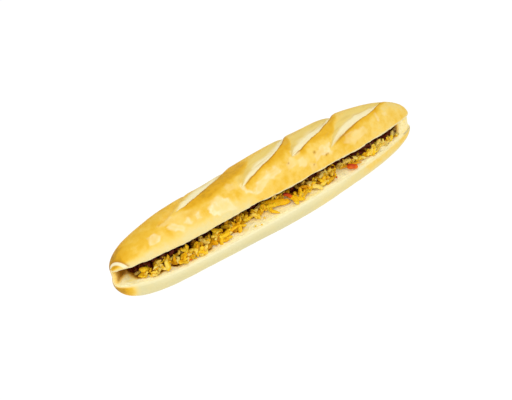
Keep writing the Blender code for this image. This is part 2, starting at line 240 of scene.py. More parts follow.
def noise(points, size, seed=0):
    """Smooth random values from -1 to 1 that change over about this many millimetres."""
    points = np.asarray(points, float) / size + 17.3 * (seed + 1)
    low = np.floor(points)
    part = points - low
    part = part * part * (3 - 2 * part)
    total = np.zeros(points.shape[:-1])
    for corner in np.ndindex(2, 2, 2):
        spot = (low + corner) @ np.array((12.9898, 78.233, 37.719))
        value = np.sin(spot) * 43758.5453
        weight = np.prod(np.where(corner, part, 1 - part), axis=-1)
        total += weight * (value - np.floor(value))
    return 2 * total - 1


def power_curve(angle, power):
    """Cosine and sine bent to a superellipse of this power."""
    cos, sin = np.cos(angle), np.sin(angle)
    return np.sign(cos) * np.abs(cos) ** (2 / power), np.abs(sin) ** (2 / power)


def taper(s, ends):
    """Share of the full width left at s, from -1 at the left tip to 1 at the right."""
    power = np.where(s < 0, ends[0], ends[1])
    return np.sqrt(1 - np.abs(s) ** power)


def stations(count, last, crowding=0.8):
    """Places from -last to last that lie closer together towards the ends."""
    steps = np.linspace(-1, 1, count)
    return last * np.sin(steps * math.pi / 2 * crowding) / math.sin(math.pi / 2 * crowding)


# The loaf

def through(spots, x):
    """A smooth line through these spots, as its height at x."""
    xs, heights = np.array(spots).T
    slopes = np.gradient(heights, xs)
    k = np.clip(np.searchsorted(xs, x) - 1, 0, len(xs) - 2)
    gap = xs[k + 1] - xs[k]
    t = np.clip((x - xs[k]) / gap, 0, 1)
    near = (1 + 2 * t) * (1 - t) ** 2 * heights[k] + t * (1 - t) ** 2 * gap * slopes[k]
    return near + t * t * (3 - 2 * t) * heights[k + 1] - t * t * (1 - t) * gap * slopes[k + 1]


def read_slashes(x, v):
    """Relief of the slashes at x and v, and masks of what they lay bare."""
    points = np.stack((x + 0 * v, v + 0 * x, 0 * (x + v)), axis=-1)
    ragged = 0.5 * noise(points, 7) + 0.3 * noise(points, 2.5, 1)
    x, v = points[..., 0], points[..., 1]
    relief = np.zeros_like(v)
    masks = {name: np.zeros_like(v) for name in ("bare", "pale", "ear", "amber", "grain")}
    for (spots, opening, skew, depth), (paleness, palest, torn, amber_edge) in zip(SLASHES, SLASH_BAKES):
        first, last = spots[0][0], spots[-1][0]
        lens = np.sin(math.pi * np.clip((x - first) / (last - first), 0, 1) ** skew)
        slope = np.hypot(1, (through(spots, x + 1) - through(spots, x - 1)) / 2)
        from_ear = (v - through(spots, x)) / slope + ragged * smooth(lens, 0.05, 0.4)
        share = from_ear * slope / np.maximum(opening * lens, 0.5)
        present = np.sqrt(lens)
        upper = smooth(v, *EAR_FADE)
        rise = EAR_RISE * np.exp(-np.maximum(-from_ear, 0) / EAR_REACH) * (1 - (1 - EAR_LEFT) * upper)
        step = STEP_WIDTH[0] + (STEP_WIDTH[1] - STEP_WIDTH[0]) * upper
        drop = smooth(from_ear, -0.5 * (step - STEP_WIDTH[0]), step)
        valley = depth * (1 - smooth(share, 0.4, 1.05))
        relief += present * (rise * (1 - drop) - valley * drop)
        there = smooth(lens, 0.03, 0.2)
        inside = smooth(from_ear, 0.0, 1.0) * there * paleness
        strands_of_dough = np.stack((x / 16, from_ear / 1.5, 0 * x), axis=-1)
        grain = noise(strands_of_dough, 1.0, 30)
        wander = share + 0.10 * ragged + 0.07 * grain
        above = v - np.interp(x, *np.array(amber_edge).T) + 3.4 * ragged
        baked = (from_ear < 0.5) * smooth(above, -3.0, 5.0) * smooth(lens, 0.03, 0.35) * paleness
        tear = torn * np.exp(-(((wander - palest) / 0.05) ** 2)) * inside * smooth(lens, 0.1, 0.5)
        found = {
            "bare": inside * (1 - smooth(wander, 0.82, 1.05)),
            "pale": inside * (1 - smooth(wander, palest - 0.26, palest + 0.16)),
            "ear": np.maximum(np.exp(-(((from_ear + 0.3) / 0.7) ** 2)) * smooth(lens, 0.15, 0.6) * paleness, 0.4 * tear),
            "amber": baked,
            "grain": inside * np.clip(grain - 0.05, 0, 1),
        }
        for name, mask in found.items():
            masks[name] = np.maximum(masks[name], mask)
    return relief, masks


def floury_patches(x, v, points):
    """Where flour lies on the crust: patches with broken edges, thickest along their rims."""
    x = x + 2.0 * noise(points, 6, 2) + 1.4 * noise(points, 2.6, 3)
    v = v + 2.0 * noise(points, 6, 9) + 1.4 * noise(points, 2.6, 10)
    uneven = 0.86 + 0.34 * noise(points, 4.5, 34) + 0.16 * noise(points, 1.8, 35)
    flour = np.zeros_like(v)
    for corners, thickness in FLOURY:
        corners = np.array(corners, float)
        edges = np.roll(corners, -1, axis=0) - corners
        turn = np.sign(np.sum(corners[:, 0] * edges[:, 1] - corners[:, 1] * edges[:, 0]))
        inside = np.min([
            turn * (edge[0] * (v - corner[1]) - edge[1] * (x - corner[0])) / np.hypot(*edge)
            for corner, edge in zip(corners, edges)
        ], axis=0)
        rim = 1 - 0.35 * smooth(inside, 1.0, 4.0)
        flour = np.maximum(flour, thickness * smooth(inside, -1.2, 1.2) * rim)
    return flour * np.clip(uneven, 0, 1.1)


def browned_patches(x, v, points):
    """How much more the crust browned in small patches."""
    x = x + 2.0 * noise(points, 5, 32)
    v = v + 2.0 * noise(points, 5, 33)
    return sum(
        more * np.exp(-(((x - at_x) / half_x) ** 2) - ((v - at_v) / half_v) ** 2)
        for at_x, at_v, half_x, half_v, more in BROWNED
    )


def dark_specks(x, v):
    """Small burnt specks on the crust."""
    return sum(np.exp(-((np.hypot(x - at_x, v - at_v) / size) ** 2)) for at_x, at_v, size in SPECKS)


def tip_crack(x, v):
    """The crescent where the crust split at the left tip: groove and pale edge."""
    line = -151.2 - 0.19 * v
    there = smooth(v, 2, 6) * (1 - smooth(v, 46, 60))
    groove = np.exp(-(((x - line) / 0.8) ** 2)) * there
    pale = smooth(x, line - 4.4, line - 3.2) * (1 - smooth(x, line - 0.9, line - 0.2)) * there
    return groove, pale


def swell(x, spot):
    """A smooth swelling along the loaf from its middle, half length and size."""
    middle, half_length, size = spot
    return size * np.exp(-(((x - middle) / half_length) ** 2))


def opened(s, y, h):
    """A point of the top half at this station, turned up about the hinge, its lip waving a little."""
    angle = OPEN_ANGLE + OPEN_TWIST * s
    cos, sin = np.cos(angle), np.sin(angle)
    h = h - sum(swell(s * LOAF_LENGTH / 2, wave) for wave in LIP_WAVES) * smooth(-y, 0, 25)
    return HINGE_Y + (y - HINGE_Y) * cos + h * sin, CUT_Z + HINGE_LIFT - (y - HINGE_Y) * sin + h * cos


def slit_end(s):
    """How far back the slit goes at this station, as y on the bottom half."""
    half = LOAF_WIDTH / 2 * taper(s, PLAN_ENDS)
    back = half - np.minimum(HINGE_WALL, WALL_AT_TIP * half)
    closing = smooth(s * LOAF_LENGTH / 2, WEB_STARTS, WEB_ENDS)
    front = np.maximum(np.minimum(2 * EDGE_EASE - half, back), -half * 0.6)
    return back + (front - back) * closing


def loaf_surface():
    """Points of the opened loaf as rings along it, and what each point looks like."""
    s = stations(LOAF_RINGS, LAST_STATION)[:, None]
    x = s * LOAF_LENGTH / 2
    wide = taper(s, PLAN_ENDS)
    half = LOAF_WIDTH / 2 * wide
    tall = TOP_HEIGHT * taper(s, TOP_ENDS) * (1 + CREST_RISE * s) * (1 - swell(x, CREST_SAG))
    deep = BOTTOM_DEPTH * taper(s, BOTTOM_ENDS) * (1 - BELLY[2] + swell(x, BELLY))
    ease = np.minimum(EDGE_EASE, half * 0.3)
    inner = slit_end(s)

    # over the top half, from the front lip to the back
    step = np.linspace(0, 1, TOP_STEPS + 1)[None, :]
    over = ease / half + (math.pi - ease / half) * step
    cos, sin = power_curve(over, TOP_ROUNDNESS)
    y, h = -half * cos, tall * sin
    out_y = np.sign(y) * np.abs(cos) ** (TOP_ROUNDNESS - 1) / half
    out_h = sin ** (TOP_ROUNDNESS - 1) / tall
    size = np.hypot(out_y, out_h)
    v = OVER_THE_TOP * over
    relief, masks = read_slashes(x, v)
    groove, crack_pale = tip_crack(x, v)
    relief = (relief - 1.1 * groove) * np.minimum(wide * 2, 1)
    top = opened(s, y + relief * out_y / size, h + relief * out_h / size)

    # the fold of crust at the back
    share = np.arange(1, FOLD_STEPS)[None, :] / FOLD_STEPS
    fold_y = top[0][:, -1:] + (half - top[0][:, -1:]) * share - CREASE * wide * np.sin(math.pi * share)
    fold_z = top[1][:, -1:] + (CUT_Z - top[1][:, -1:]) * share

    # under the bottom half, from the back to the front edge
    step = np.linspace(0, 1, BOTTOM_STEPS + 1)[None, :]
    under = math.pi + (ease / half - math.pi) * step
    cos, sin = power_curve(under, BOTTOM_ROUNDNESS)
    under_y, under_z = -half * cos, np.maximum(CUT_Z - deep * sin, 0)

    # the slit: over the bottom half's crumb, up its end and back under the top half
    front = -half + ease
    step = np.arange(FACE_STEPS)[None, :] / FACE_STEPS
    low_y, low_z = front + (inner - front) * step, CUT_Z + 0 * (s + step)
    high = opened(s, inner, 0.0)
    step = np.arange(WALL_STEPS)[None, :] / WALL_STEPS
    bow = 0.12 * (high[1] - CUT_Z) * np.sin(math.pi * step)
    wall_y, wall_z = inner + (high[0] - inner) * step + bow, CUT_Z + (high[1] - CUT_Z) * step
    step = np.arange(FACE_STEPS + 1)[None, :] / FACE_STEPS
    roof = opened(s, inner + (front - inner) * step, 0.0)

    ys = np.concatenate((top[0], fold_y, under_y, low_y, wall_y, roof[0]), axis=1)
    zs = np.concatenate((top[1], fold_z, under_z, low_z, wall_z, roof[1]), axis=1)
    xs = x + TOP_SHIFT * smooth(zs, CUT_Z, CUT_Z + HINGE_LIFT)
    points = np.stack((xs, ys, zs), axis=-1)

    counts = (TOP_STEPS + 1, FOLD_STEPS - 1, BOTTOM_STEPS + 1, 2 * FACE_STEPS + WALL_STEPS + 1)
    top_part, fold_part, under_part, crumb_part = np.cumsum((0,) + counts)[:-1]
    look = {name: np.zeros(points.shape[:2]) for name in LOOKS}
    surface = points[:, :fold_part]
    look["flour"][:, :fold_part] = floury_patches(x, v, surface)
    look["pale"][:, :fold_part] = np.maximum(masks["pale"], crack_pale)
    look["bare"][:, :fold_part] = masks["bare"]
    look["grain"][:, :fold_part] = masks["grain"]
    look["ear"][:, :fold_part] = np.maximum(masks["ear"], 0.8 * groove)
    look["ear"][:, :fold_part] = np.maximum(look["ear"][:, :fold_part], np.minimum(1.4 * dark_specks(x, v), 1))
    look["bake"][:, :fold_part] = (
        0.47
        + 0.34 * smooth(-x, 138, 162) * smooth(v, 8, 20)
        + 0.08 * smooth(-x, 85, 130) * smooth(v, 14, 36)
        + 0.12 * smooth(v, 36, 52) * smooth(-x, 10, 60)
        + 0.33 * masks["amber"] * (1 - 0.15 * smooth(x, 60, 130))
        - 0.27 * (1 - smooth(v, 3, 18)) * (1 - smooth(x, -45, -12))
        - 0.05 * smooth(x, 0, 30)
        + 0.05 * (1 - smooth(v, 8, 12)) * smooth(x, -30, 0) * (1 - smooth(x, 95, 120))
    )
    look["bake"][:, :fold_part] += browned_patches(x, v, surface)
    look["bake"][:, fold_part:under_part] = 0.5
    w = OVER_THE_TOP * (under - math.pi) + OVER_THE_TOP * math.pi
    look["bake"][:, under_part:crumb_part] = (
        0.08
        + 0.95 * smooth(-x, 146, 163)
        + 0.22 * smooth(x, 74, 110) * (1 - smooth(w, 8, 22))
        + 0.09 * smooth(x, 10, 50) * (1 - smooth(w, 24, 40))
        + 0.30 * smooth(w, 60, 90)
    )
    near_edge = 0.4 * (1 - smooth(w, 2, 11)) * smooth(x, -150, -120) * (1 - smooth(x, 55, 90))
    look["pale"][:, under_part:crumb_part] = np.maximum(near_edge, 0.75 * (1 - smooth(w, 1.2, 3.0)))
    look["crumb"][:, crumb_part:] = 1
    look["bake"][:, crumb_part:] = 0.2  # the crust's last faces fade towards these two
    look["pale"][:, crumb_part:] = 0.7
    soaked_and_shaded = points[:, crumb_part:]
    soak_front = heap_front(soaked_and_shaded[..., 0])[0]
    near_heap = smooth(soaked_and_shaded[..., 1], soak_front + 1.5, soak_front + 7)
    near_heap *= smooth(x, HEAP_STARTS - 4, HEAP_STARTS + 8) * (1 - smooth(x, HEAP_ENDS - 6, HEAP_ENDS + 4))
    # painted shade: the crumb and the end wall deep in the slit at the left tip are coloured darker
    left_wall_shade = 0.5 * smooth(x, -166, -152) * (1 - smooth(x, -130, -115)) * smooth(soaked_and_shaded[..., 1], inner - 6, inner + 1)
    right_wall = 0.07 * smooth(x, 145, 153)
    look["stain_and_shade"][:, crumb_part:] = np.maximum(np.maximum(near_heap, left_wall_shade), right_wall)

    # The whole surface is a little uneven: dough's swells, a baked skin's puckers, torn crumb
    along = np.gradient(points, axis=0)
    around = np.gradient(points, axis=1)
    normal = np.cross(around, along)
    normal /= np.maximum(np.linalg.norm(normal, axis=-1, keepdims=True), 1e-9)
    crumb = look["crumb"]
    uneven = 0.45 * noise(points, 34, 4) + 0.16 * noise(points, 9, 5) + 0.05 * noise(points, 2.6, 6)
    torn = 0.55 * noise(points, 7, 7) + 0.40 * noise(points, 2.8, 8)
    height = uneven * (1 - crumb) + torn * crumb
    fading = np.minimum(smooth(points[..., 2], 0.2, 5.0) + 0.0, smooth(1 - np.abs(s), 0.0, 0.03))
    points = points + normal * (height * fading)[..., None]
    return points, look


# The filling

def heap_reach(x):
    """How far forward and how high the heap of filling is at x."""
    reach, high = HEAP_BACKING + 0 * x, HEAP_BETWEEN + 0 * x
    for centre, half, forward, tall in CLUMPS:
        share = np.exp(-(((x - centre) / half) ** 4))
        reach = np.minimum(reach, HEAP_BACKING + (forward - HEAP_BACKING) * share)
        high = np.maximum(high, HEAP_BETWEEN + (tall - HEAP_BETWEEN) * share)
    return reach, high


def heap_front(x):
    """The heap's front, height and thinning towards its ends at x, inside the crumb's edge."""
    ends = np.minimum(smooth(x, HEAP_STARTS, HEAP_STARTS + HEAP_TIP), smooth(-x, -HEAP_ENDS, -HEAP_ENDS + HEAP_TIP))
    reach, high = heap_reach(x)
    edge = -LOAF_WIDTH / 2 * taper(2 * x / LOAF_LENGTH, PLAN_ENDS)
    return np.maximum(reach, edge + 3), high * (0.35 + 0.65 * ends), ends


def slit_height(x, y):
    """Clear height in the slit between the two crumb faces."""
    return HINGE_LIFT + (HINGE_Y - y) * np.tan(OPEN_ANGLE + OPEN_TWIST * 2 * x / LOAF_LENGTH)


def shade_under_lip(x, y, z):
    """Painted shade: how dark the meat is coloured at this place, darkest far in and up under the front lip, where the
    lip shades it.
    """
    lip = slit_height(x, -28.0) - sum(swell(x, wave) for wave in LIP_WAVES)
    spots = np.stack((x, y, z), axis=-1)
    below = 0.5 * (y + 28) + 0.86 * (z - CUT_Z) - 0.86 * lip + 1.2 * noise(spots, 7, 40)
    narrow = smooth(x, 85, 115)
    return smooth(below, -5.0 + 2.6 * narrow, -1.8 + 1.6 * narrow)


def heap_core():
    """The meat under the loose shreds, with lumps like theirs."""
    x = np.linspace(HEAP_STARTS + 2, HEAP_ENDS - 2, 260)[:, None]
    front, high, ends = heap_front(x)
    back = slit_end(2 * x / LOAF_LENGTH) - 1
    front = back + (np.minimum(front + CORE_INSET, back - 4) - back) * (0.3 + 0.7 * ends)
    turn = np.linspace(0, 2 * math.pi, 30, endpoint=False)[None, :]
    cos, sin = power_curve(turn, 3)
    sin = np.where(turn > math.pi, -sin, sin)
    y = (front + back) / 2 - (back - front) / 2 * cos
    room = slit_height(x, y) - 1.5
    tall = np.minimum(np.maximum(high - CORE_INSET, 1.5), room)
    tall = tall + (np.maximum(room, tall) - tall) * smooth(y, 2, 16)
    z = CUT_Z + 0.5 + tall * (0.5 + 0.5 * sin)
    points = np.stack((x + 0 * y, y, z), axis=-1)
    push = 0.9 * noise(points, 5, 11) + 0.4 * noise(points, 2.2, 12)
    points[..., 2] += np.where(sin > 0, push, 0) * smooth(points[..., 2], CUT_Z + 1, CUT_Z + 3)
    points[..., 1] -= push * smooth(cos, 0.3, 0.9)
    return points


def strands(middles, along, up, sizes, bends, seeds, box=2.0):
    """Bent, twisted strips: each a tube of rings round its own line, uneven along its fibres.

    sizes holds length, width and thickness for each, bends the middle's shift aside, its shift
    up and the twist. Returns the points and each point's place across and along the fibres.
    """
    count = len(middles)
    along = along / np.linalg.norm(along, axis=1, keepdims=True)
    side = np.cross(up, along)
    side /= np.linalg.norm(side, axis=1, keepdims=True)
    up = np.cross(along, side)
    share = np.linspace(0, 1, STRAND_RINGS)
    turn = np.linspace(0, 2 * math.pi, STRAND_SIDES, endpoint=False)
    cos, sin = power_curve(turn, box)
    sin = np.where(turn > math.pi, -sin, sin)
    length, width, thick = (sizes[:, k, None, None] for k in range(3))
    aside, lift, twist = (bends[:, k, None, None] for k in range(3))
    run = (share[None, :, None] - 0.5) * length
    bow = 1 - (2 * share[None, :, None] - 1) ** 2
    sway = np.sin(2 * math.pi * share[None, :, None] + seeds[:, None, None])
    ends = np.clip(np.sin(math.pi * share), 0, 1)[None, :, None] ** 0.42 + 0.04
    place = np.stack(np.broadcast_arrays(run / 2.2 + 9 * seeds[:, None, None], 1.4 * cos, 1.4 * sin), axis=-1)
    lumpy = 1 + 0.34 * noise(place, 1.0, 20) + 0.16 * noise(place * (1, 2.4, 2.4), 1.0, 21)
    across = width / 2 * cos * ends * lumpy
    high = thick / 2 * sin * ends * lumpy
    angle = twist * (share[None, :, None] - 0.5)
    flat = across * np.cos(angle) - high * np.sin(angle) + aside * bow + 0.12 * width * sway
    tall = across * np.sin(angle) + high * np.cos(angle) + lift * bow
    points = (
        middles[:, None, None, :]
        + run[..., None] * along[:, None, None, :]
        + flat[..., None] * side[:, None, None, :]
        + tall[..., None] * up[:, None, None, :]
    )
    fibre = np.stack(np.broadcast_arrays(across * 1.5, high * 1.5, run * 0.16 + 30 * seeds[:, None, None]), axis=-1)
    return points, fibre.reshape(count, STRAND_RINGS, STRAND_SIDES, 3)


def keep_in_slit(points):
    """Strands pressed down on the crumb and under the top half's crumb."""
    x, y, z = points[..., 0], points[..., 1], points[..., 2]
    roof = CUT_Z + slit_height(x, y) - 0.5
    floor = CUT_Z + 0.15
    points[..., 2] = np.clip(z, floor + 0.15 * np.tanh((z - floor) / 2), roof)
    return points


def loose_shreds(random):
    """Shreds of chicken heaped over the core: their points, fibres, tone, and darkness from curry and painted shade."""
    count = int(SHREDS_PER_MM * (HEAP_ENDS - HEAP_STARTS))
    x = random.uniform(HEAP_STARTS + 3, HEAP_ENDS - 3, count)
    front, high, ends = heap_front(x)
    depth = random.uniform(0, 1, count) ** 1.3 * 15
    y = front + 1.2 + depth
    crowd = front < HEAP_BACKING - 3
    x, y, front, high, depth, ends = (a[crowd | (depth < 8)] for a in (x, y, front, high, depth, ends))
    count = len(x)
    clumped = smooth(HEAP_BACKING - front, 3, 9)
    top = high * np.clip((y - front) / 3.5, 0.3, 1) ** 0.7 + 5.0 * clumped * smooth(depth, 2.5, 9)
    top = np.minimum(top, slit_height(x, y) - 2.0)
    z = CUT_Z + 0.8 + (top - 1.2) * random.uniform(0.1, 1.0, count) ** 0.5
    middles = np.stack((x, y, z), axis=1)
    heading = random.uniform(-1.9, 0.9, count)
    upright = np.where(random.uniform(0, 1, count) < 0.45, random.uniform(0.8, 2.2, count), random.uniform(-0.6, 0.6, count))
    along = np.stack((np.cos(heading), np.sin(heading), upright), axis=1)
    up = random.normal(0, 0.5, (count, 3)) + (0, -0.5, 0.9)
    big = random.uniform(0, 1, count)
    sizes = np.stack((5.0 + 7.0 * big**1.5, 1.9 + 2.6 * big, 1.5 + 1.5 * big), axis=1)
    bends = random.normal(0, (1.3, 0.9, 1.3), (count, 3))
    points, fibre = strands(middles, along, up, sizes, bends, random.uniform(0, 6, count))
    # painted light: the shreds are coloured paler towards the right end, where the narrowing slit shades them
    tone = np.clip(random.normal(0.5, 0.24, count) + 0.25 * smooth(x, 85, 120), 0, 1)
    # deep in the heap and where the clumps thin out, the shreds are coloured dark: curry, and painted shade in the
    # hollows; a few at random are dark with curry alone
    sauce_and_shade = smooth(depth + 4 * (1 - clumped), 9, 14) + 0.25 * (random.uniform(0, 1, count) < 0.15)
    sauce_and_shade = np.maximum(sauce_and_shade, shade_under_lip(x, y, z))
    return keep_in_slit(points), fibre, tone, np.clip(sauce_and_shade, 0, 1)


def lone_strips(random):
    """The longer strips that lie apart on the crumb."""
    near, far = (np.array([strip[k] for strip in STRIPS]) for k in (0, 1))
    width, thick, aside, tone = (np.array([strip[k] for strip in STRIPS]) for k in (2, 3, 4, 5))
    lift = np.array((0, 0, CUT_Z))
    sizes = np.stack((np.linalg.norm(far - near, axis=1), width, thick), axis=1)
    bends = np.stack((aside, 0 * aside + 0.5, 0.5 * np.sign(aside)), axis=1)
    up = np.tile((0.0, -0.35, 1.0), (len(STRIPS), 1))
    points, fibre = strands((near + far) / 2 + lift, far - near, up, sizes, bends, random.uniform(0, 6, len(STRIPS)))
    return keep_in_slit(points), fibre, tone, 0 * tone


def fallen_bits(random, places, tall):
    """Small bits lying on the cut bread at these places."""
    spots = np.array(places, float)
    count = len(spots)
    middles = spots * (1, 1, 0) + (0, 0, 1) * (CUT_Z + np.full((count, 1), tall))
    heading = random.uniform(0, math.pi, count)
    along = np.stack((np.cos(heading), np.sin(heading), 0 * heading), axis=1)
    sizes = spots[:, 2:] * (1.5, 1.0, 0.8)
    bends = random.normal(0, 0.2, (count, 3))
    points, fibre = strands(middles, along, np.tile((0.0, 0.0, 1.0), (count, 1)), sizes, bends, random.uniform(0, 6, count))
    return keep_in_slit(points), fibre, np.full(count, 0.6), np.zeros(count)


def pepper_points(near, far, width, thick, roll):
    """A short slab of pepper bent like the pepper's wall, thick-skinned, its cut edges rounded."""
    rings, sides = 36, 40
    near, far = np.array(near), np.array(far)
    length = np.linalg.norm(far - near) + 2.0
    share = (1 - np.cos(np.linspace(0, math.pi, rings))) / 2
    turn = np.linspace(0, 2 * math.pi, sides, endpoint=False)
    cos, sin = power_curve(turn, 3.4)
    sin = np.where(turn > math.pi, -sin, sin)
    ends = np.clip(1 - np.abs(2 * share - 1) ** 7, 0, 1)[:, None] ** 0.5 * 0.97 + 0.03
    wave = 1 + 0.05 * np.sin(3.1 * share[:, None] * 2 + cos)
    across = 0.42 * width * cos * (1 - 0.18 * share[:, None]) * ends * wave
    high = thick / 2 * sin * (0.86 + 0.14 * np.abs(cos)) * ends
    bend = (share[:, None] - 0.5) * length / PEPPER_CURL
    radius = PEPPER_CURL + high
    points = np.stack((radius * np.sin(bend), across, radius * np.cos(bend) - PEPPER_CURL), axis=-1)
    turn = Vector(far - near).to_track_quat("X", "Z").to_matrix() @ Matrix.Rotation(math.radians(roll), 3, "X")
    return points @ np.array(turn).T + (near + far) / 2 + (0, 0, CUT_Z)


# Meshes

def grid_mesh(name, points, closed, look):
    """A mesh over rings of points, each ring closed, its two end rings filled where closed."""
    rings, count = points.shape[:2]
    first = (np.arange(rings - 1)[:, None] * count + np.arange(count)[None, :]).ravel()
    after = (np.arange(rings - 1)[:, None] * count + (np.arange(count)[None, :] + 1) % count).ravel()
    quads = np.stack((first, first + count, after + count, after), axis=1)
    faces = [tuple(quad) for quad in quads.tolist()]
    if closed:
        faces.append(tuple(range(count)))
        faces.append(tuple(range((rings - 1) * count, rings * count))[::-1])
    data = bpy.data.meshes.new(name)
    data.from_pydata((points.reshape(-1, 3) * MM).tolist(), [], faces)
    for mask, values in look.items():
        attribute = data.attributes.new(mask, "FLOAT", "POINT")
        attribute.data.foreach_set("value", values.astype(np.float32).ravel())
    data.shade_smooth()
    return data


def tubes_mesh(name, points, fibre, masks):
    """One mesh of many closed tubes, each a row of rings, with values for each tube."""
    count, rings, sides = points.shape[:3]
    near = np.arange(rings - 1)[:, None] * sides + np.arange(sides)[None, :]
    after = np.arange(rings - 1)[:, None] * sides + (np.arange(sides)[None, :] + 1) % sides
    one = np.stack((near, after, after + sides, near + sides), axis=-1).reshape(-1, 4)
    size = rings * sides
    faces = []
    for tube in range(count):
        faces.extend(map(tuple, (one + tube * size).tolist()))
        faces.append(tuple(range(tube * size, tube * size + sides))[::-1])
        faces.append(tuple(range((tube + 1) * size - sides, (tube + 1) * size)))
    data = bpy.data.meshes.new(name)
    data.from_pydata((points.reshape(-1, 3) * MM).tolist(), [], faces)
    for mask_name, values in masks.items():
        attribute = data.attributes.new(mask_name, "FLOAT", "POINT")
        attribute.data.foreach_set("value", np.repeat(values, size).astype(np.float32))
    strand = data.attributes.new("strand", "FLOAT_VECTOR", "POINT")
    strand.data.foreach_set("vector", fibre.astype(np.float32).ravel())
    data.shade_smooth()
    return data


def add_piece(name, data, material, node):
    """The piece in the scene, riding on the sandwich and standing for its node."""
    piece = bpy.data.objects.new(name, data)
    bpy.context.scene.collection.objects.link(piece)
    data.materials.append(material)
    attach(piece, "root")
    if node:
        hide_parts(node)
    return piece


# Materials

def linear(hex_colour):
    """A linear RGBA colour from an sRGB hex value."""
    parts = [int(hex_colour[k : k + 2], 16) / 255 for k in (1, 3, 5)]
    return (*(c / 12.92 if c <= 0.04045 else ((c + 0.055) / 1.055) ** 2.4 for c in parts), 1)


def add_node(tree, kind, links=(), **settings):
    """A node of this kind with its settings, and links as (input, output socket) pairs."""
    node = tree.nodes.new("ShaderNode" + kind)
    for name, value in settings.items():
        if hasattr(node, name):
            setattr(node, name, value)
    for name, source in dict(links).items():
        target = node.inputs[name]
        if isinstance(source, bpy.types.NodeSocket):
            tree.links.new(source, target)
        else:
            target.default_value = source
    return node


def new_material(name, **values):
    """A material and its Principled shader, with these values on the shader's own sockets."""
    made = bpy.data.materials.new(name)
    made.use_nodes = True
    shader = made.node_tree.nodes["Principled BSDF"]
    for socket, value in values.items():
        shader.inputs[socket.replace("_", " ")].default_value = value
    return made, made.node_tree, shader


def ramp(tree, source, stops):
    """A colour ramp from pairs of position and hex colour."""
    node = add_node(tree, "ValToRGB", {"Fac": source})
    while len(node.color_ramp.elements) < len(stops):
        node.color_ramp.elements.new(0.5)
    for element, (position, colour) in zip(node.color_ramp.elements, stops):
        element.position = position
        element.color = linear(colour) if isinstance(colour, str) else (colour, colour, colour, 1)
    return node.outputs["Color"]


def mask(tree, name):
    """The named mask that the mesh carries."""
    return add_node(tree, "Attribute", attribute_name=name).outputs["Fac"]


def combine(tree, operation, first, second, third=0.0):
    """The result of a Math node on sockets or numbers."""
    node = add_node(tree, "Math", {0: first, 1: second, 2: third}, operation=operation)
    return node.outputs[0]


def blend(tree, amount, low, high):
    """A colour between two colours or sockets."""
    sources = [linear(c) if isinstance(c, str) else c for c in (low, high)]
    node = add_node(tree, "MixRGB", {"Fac": amount, "Color1": sources[0], "Color2": sources[1]})
    return node.outputs["Color"]


def speckle(tree, place, size_mm, detail=3.0, rough=0.5):
    """Noise whose blobs are about this size."""
    links = {"Vector": place, "Scale": 0.6 / (size_mm * MM), "Detail": detail, "Roughness": rough}
    return add_node(tree, "TexNoise", links).outputs["Fac"]


def baked_crust():
    """Thin wheat crust: matt, golden where the oven reached it, creamy where it was floured."""
    made, tree, shader = new_material(
        "baked_wheat_crust", Roughness=0.62, IOR=1.45, Specular_IOR_Level=0.3,
    )
    place = add_node(tree, "TexCoord").outputs["Object"]
    blotches = speckle(tree, place, 9)
    mottle = speckle(tree, place, 2.6)
    grit = speckle(tree, place, 0.9)

    wander = combine(tree, "MULTIPLY_ADD", blotches, 0.46, -0.23)
    fine = combine(tree, "MULTIPLY_ADD", mottle, 0.34, -0.17)
    evenness = combine(tree, "MULTIPLY_ADD", mask(tree, "bake"), 2.4, 0.1)
    spread = combine(tree, "MULTIPLY", combine(tree, "ADD", wander, fine), combine(tree, "MINIMUM", evenness, 1.0))
    bake = combine(tree, "ADD", mask(tree, "bake"), spread)
    colour = ramp(tree, bake, (
        (0.00, "#dcd6a8"), (0.20, "#efdb94"), (0.40, "#f8d266"), (0.58, "#efbe34"),
        (0.78, "#e6ac0e"), (1.00, "#b98608"),
    ))
    dusting = combine(tree, "MULTIPLY", mask(tree, "flour"), combine(tree, "MULTIPLY_ADD", mottle, 1.6, 0.1))
    colour = blend(tree, dusting, colour, "#ffedb8")
    colour = blend(tree, combine(tree, "MULTIPLY", mask(tree, "bare"), 0.92), colour, "#edd276")
    colour = blend(tree, combine(tree, "MULTIPLY", mask(tree, "pale"), 0.9), colour, "#fdf5cc")
    colour = blend(tree, combine(tree, "MULTIPLY", mask(tree, "grain"), 0.6), colour, "#d6b45c")
    colour = blend(tree, combine(tree, "MULTIPLY", mask(tree, "ear"), 0.75), colour, "#b47408")
    tree.links.new(colour, shader.inputs["Base Color"])

    relief = combine(tree, "ADD", combine(tree, "MULTIPLY", mottle, 0.5), combine(tree, "MULTIPLY", grit, 0.5))
    bump = add_node(tree, "Bump", {"Height": relief, "Strength": 0.5, "Distance": 0.6 * MM})
    tree.links.new(bump.outputs["Normal"], shader.inputs["Normal"])
    return made


